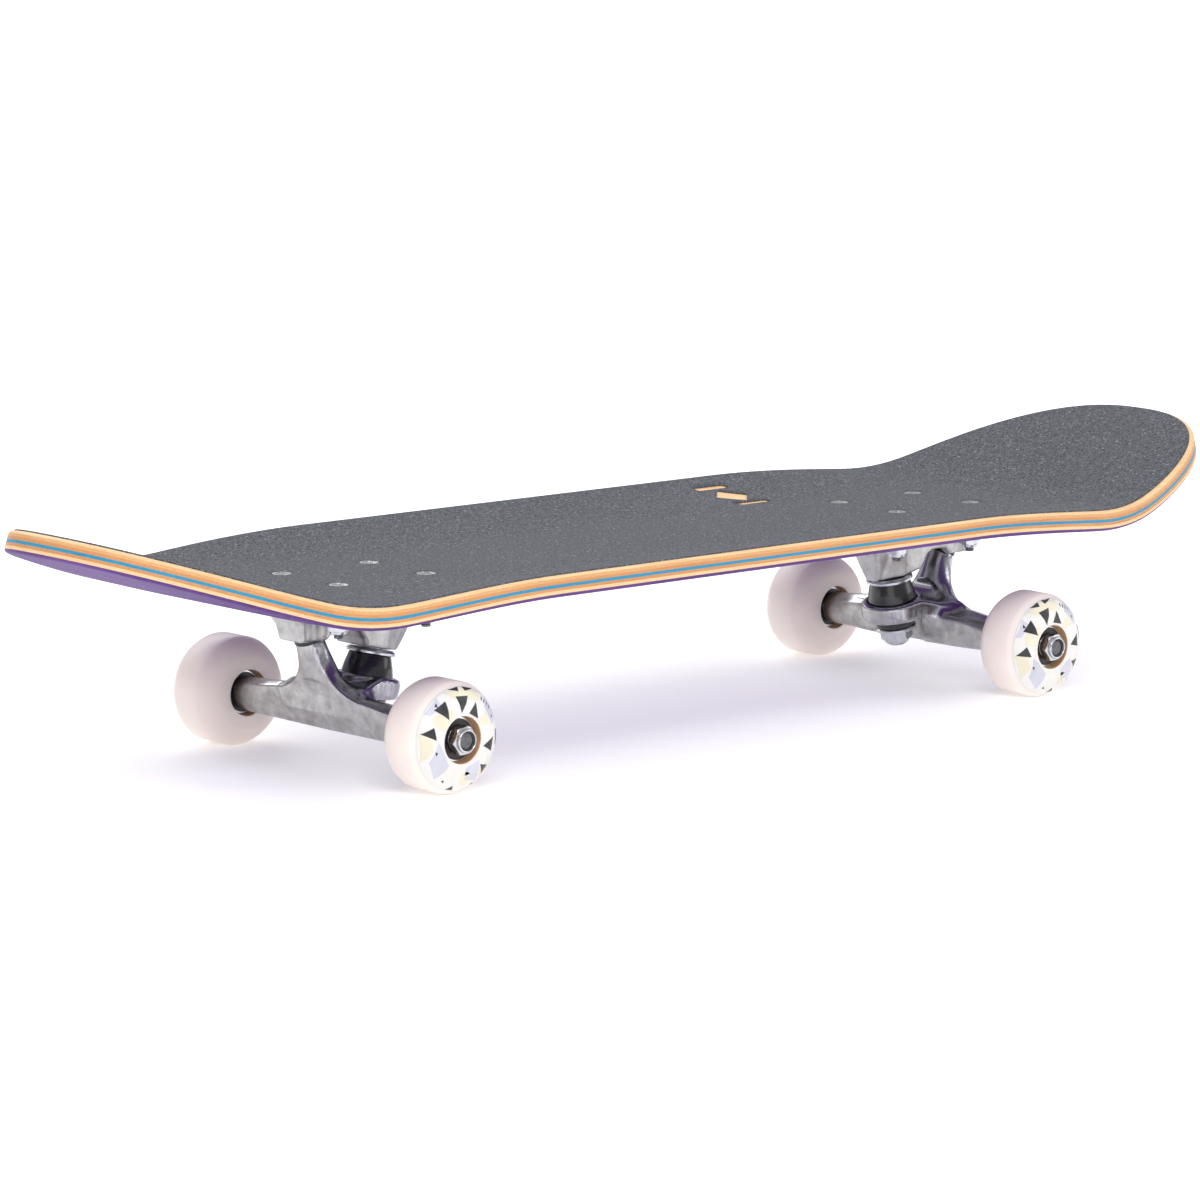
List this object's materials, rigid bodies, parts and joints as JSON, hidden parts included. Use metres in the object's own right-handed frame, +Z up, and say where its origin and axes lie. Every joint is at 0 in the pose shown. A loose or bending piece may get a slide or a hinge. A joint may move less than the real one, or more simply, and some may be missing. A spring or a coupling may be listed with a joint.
{
  "type": "skateboard",
  "caption": "Street skateboard: concave laminated maple deck with kicked ends and griptape, cast trucks on urethane bushings and urethane wheels on ball bearings.",
  "frame": {"origin": "on the ground, midway between the trucks and between the deck's long edges", "axes": "+X towards the nose, +Y to the left of a rider who faces the nose, +Z up"},
  "size_m": [0.7398, 0.1932, 0.1269],
  "materials": {
    "griptape": "coarse grit",
    "maple_light": "satin",
    "maple_brown": "satin",
    "ply_blue": "satin",
    "ply_purple": "gloss lacquer",
    "hardware_zinc": "satin",
    "truck_cast": "polished and tumbled",
    "axle_steel": "satin",
    "bushing": "gloss",
    "pivot_cup": "satin",
    "wheel_urethane": "satin",
    "bearing_steel": "polished",
    "bearing_shield": "satin",
    "bearing_cage": "satin",
    "spacer": "turned"
  },
  "bodies": {
    "deck": {"griptape": "griptape", "deck_ply_1": "maple_light", "deck_ply_2": "maple_light", "deck_ply_3": "maple_brown", "deck_ply_4": "ply_blue", "deck_ply_5": "maple_brown", "deck_ply_6": "maple_light", "deck_ply_7": "ply_purple", "deck_bolts": "hardware_zinc", "deck_nuts": "hardware_zinc", "front_baseplate": "truck_cast", "front_pivot_cup": "pivot_cup", "front_kingpin": "hardware_zinc", "front_kingpin_nut": "hardware_zinc", "front_board_washer": "hardware_zinc", "front_board_bushing": "bushing", "front_road_bushing": "bushing", "front_road_washer": "hardware_zinc", "rear_baseplate": "truck_cast", "rear_pivot_cup": "pivot_cup", "rear_kingpin": "hardware_zinc", "rear_kingpin_nut": "hardware_zinc", "rear_board_washer": "hardware_zinc", "rear_board_bushing": "bushing", "rear_road_bushing": "bushing", "rear_road_washer": "hardware_zinc"},
    "front_truck": {"front_hanger": "truck_cast", "front_axle": "axle_steel", "front_axle_nuts": "hardware_zinc", "front_speed_washers": "hardware_zinc", "front_bearing_spacers": "spacer", "front_bearing_inner_races": "bearing_steel"},
    "rear_truck": {"rear_hanger": "truck_cast", "rear_axle": "axle_steel", "rear_axle_nuts": "hardware_zinc", "rear_speed_washers": "hardware_zinc", "rear_bearing_spacers": "spacer", "rear_bearing_inner_races": "bearing_steel"},
    "front_left_wheel": {"front_left_wheel": "wheel_urethane", "front_left_bearing_outer_races": "bearing_steel", "front_left_bearing_shields": "bearing_shield"},
    "front_left_balls": {"front_left_bearing_balls": "bearing_steel", "front_left_bearing_cages": "bearing_cage"},
    "front_right_wheel": {"front_right_wheel": "wheel_urethane", "front_right_bearing_outer_races": "bearing_steel", "front_right_bearing_shields": "bearing_shield"},
    "front_right_balls": {"front_right_bearing_balls": "bearing_steel", "front_right_bearing_cages": "bearing_cage"},
    "rear_left_wheel": {"rear_left_wheel": "wheel_urethane", "rear_left_bearing_outer_races": "bearing_steel", "rear_left_bearing_shields": "bearing_shield"},
    "rear_left_balls": {"rear_left_bearing_balls": "bearing_steel", "rear_left_bearing_cages": "bearing_cage"},
    "rear_right_wheel": {"rear_right_wheel": "wheel_urethane", "rear_right_bearing_outer_races": "bearing_steel", "rear_right_bearing_shields": "bearing_shield"},
    "rear_right_balls": {"rear_right_bearing_balls": "bearing_steel", "rear_right_bearing_cages": "bearing_cage"}
  },
  "joints": [
    {"name": "front_steer", "type": "hinge", "parent": "deck", "child": "front_truck", "pos_m": [0.2157, 0, 0.0675], "axis": [0.7664, 0, 0.6424], "range_deg": [-10, 10], "stiffness_Nm_per_rad": 30, "deforming": ["front_board_bushing", "front_road_bushing"]},
    {"name": "rear_steer", "type": "hinge", "parent": "deck", "child": "rear_truck", "pos_m": [-0.2157, 0, 0.0675], "axis": [-0.7664, 0, 0.6424], "range_deg": [-10, 10], "stiffness_Nm_per_rad": 30, "deforming": ["rear_board_bushing", "rear_road_bushing"]},
    {"name": "front_left_wheel_spin", "type": "hinge", "parent": "front_truck", "child": "front_left_wheel", "pos_m": [0.1994, 0.0772, 0.0265], "axis": [0, 1, 0], "continuous": true},
    {"name": "front_left_balls_spin", "type": "hinge", "parent": "front_truck", "child": "front_left_balls", "pos_m": [0.1994, 0.0772, 0.0265], "axis": [0, 1, 0], "continuous": true},
    {"name": "front_right_wheel_spin", "type": "hinge", "parent": "front_truck", "child": "front_right_wheel", "pos_m": [0.1994, -0.0772, 0.0265], "axis": [0, 1, 0], "continuous": true},
    {"name": "front_right_balls_spin", "type": "hinge", "parent": "front_truck", "child": "front_right_balls", "pos_m": [0.1994, -0.0772, 0.0265], "axis": [0, 1, 0], "continuous": true},
    {"name": "rear_left_wheel_spin", "type": "hinge", "parent": "rear_truck", "child": "rear_left_wheel", "pos_m": [-0.1994, 0.0772, 0.0265], "axis": [0, 1, 0], "continuous": true},
    {"name": "rear_left_balls_spin", "type": "hinge", "parent": "rear_truck", "child": "rear_left_balls", "pos_m": [-0.1994, 0.0772, 0.0265], "axis": [0, 1, 0], "continuous": true},
    {"name": "rear_right_wheel_spin", "type": "hinge", "parent": "rear_truck", "child": "rear_right_wheel", "pos_m": [-0.1994, -0.0772, 0.0265], "axis": [0, 1, 0], "continuous": true},
    {"name": "rear_right_balls_spin", "type": "hinge", "parent": "rear_truck", "child": "rear_right_balls", "pos_m": [-0.1994, -0.0772, 0.0265], "axis": [0, 1, 0], "continuous": true}
  ],
  "couplings": [
    {"joint": "front_left_balls_spin", "follows": "front_left_wheel_spin", "ratio": 0.632},
    {"joint": "front_right_balls_spin", "follows": "front_right_wheel_spin", "ratio": 0.632},
    {"joint": "rear_left_balls_spin", "follows": "rear_left_wheel_spin", "ratio": 0.632},
    {"joint": "rear_right_balls_spin", "follows": "rear_right_wheel_spin", "ratio": 0.632}
  ]
}
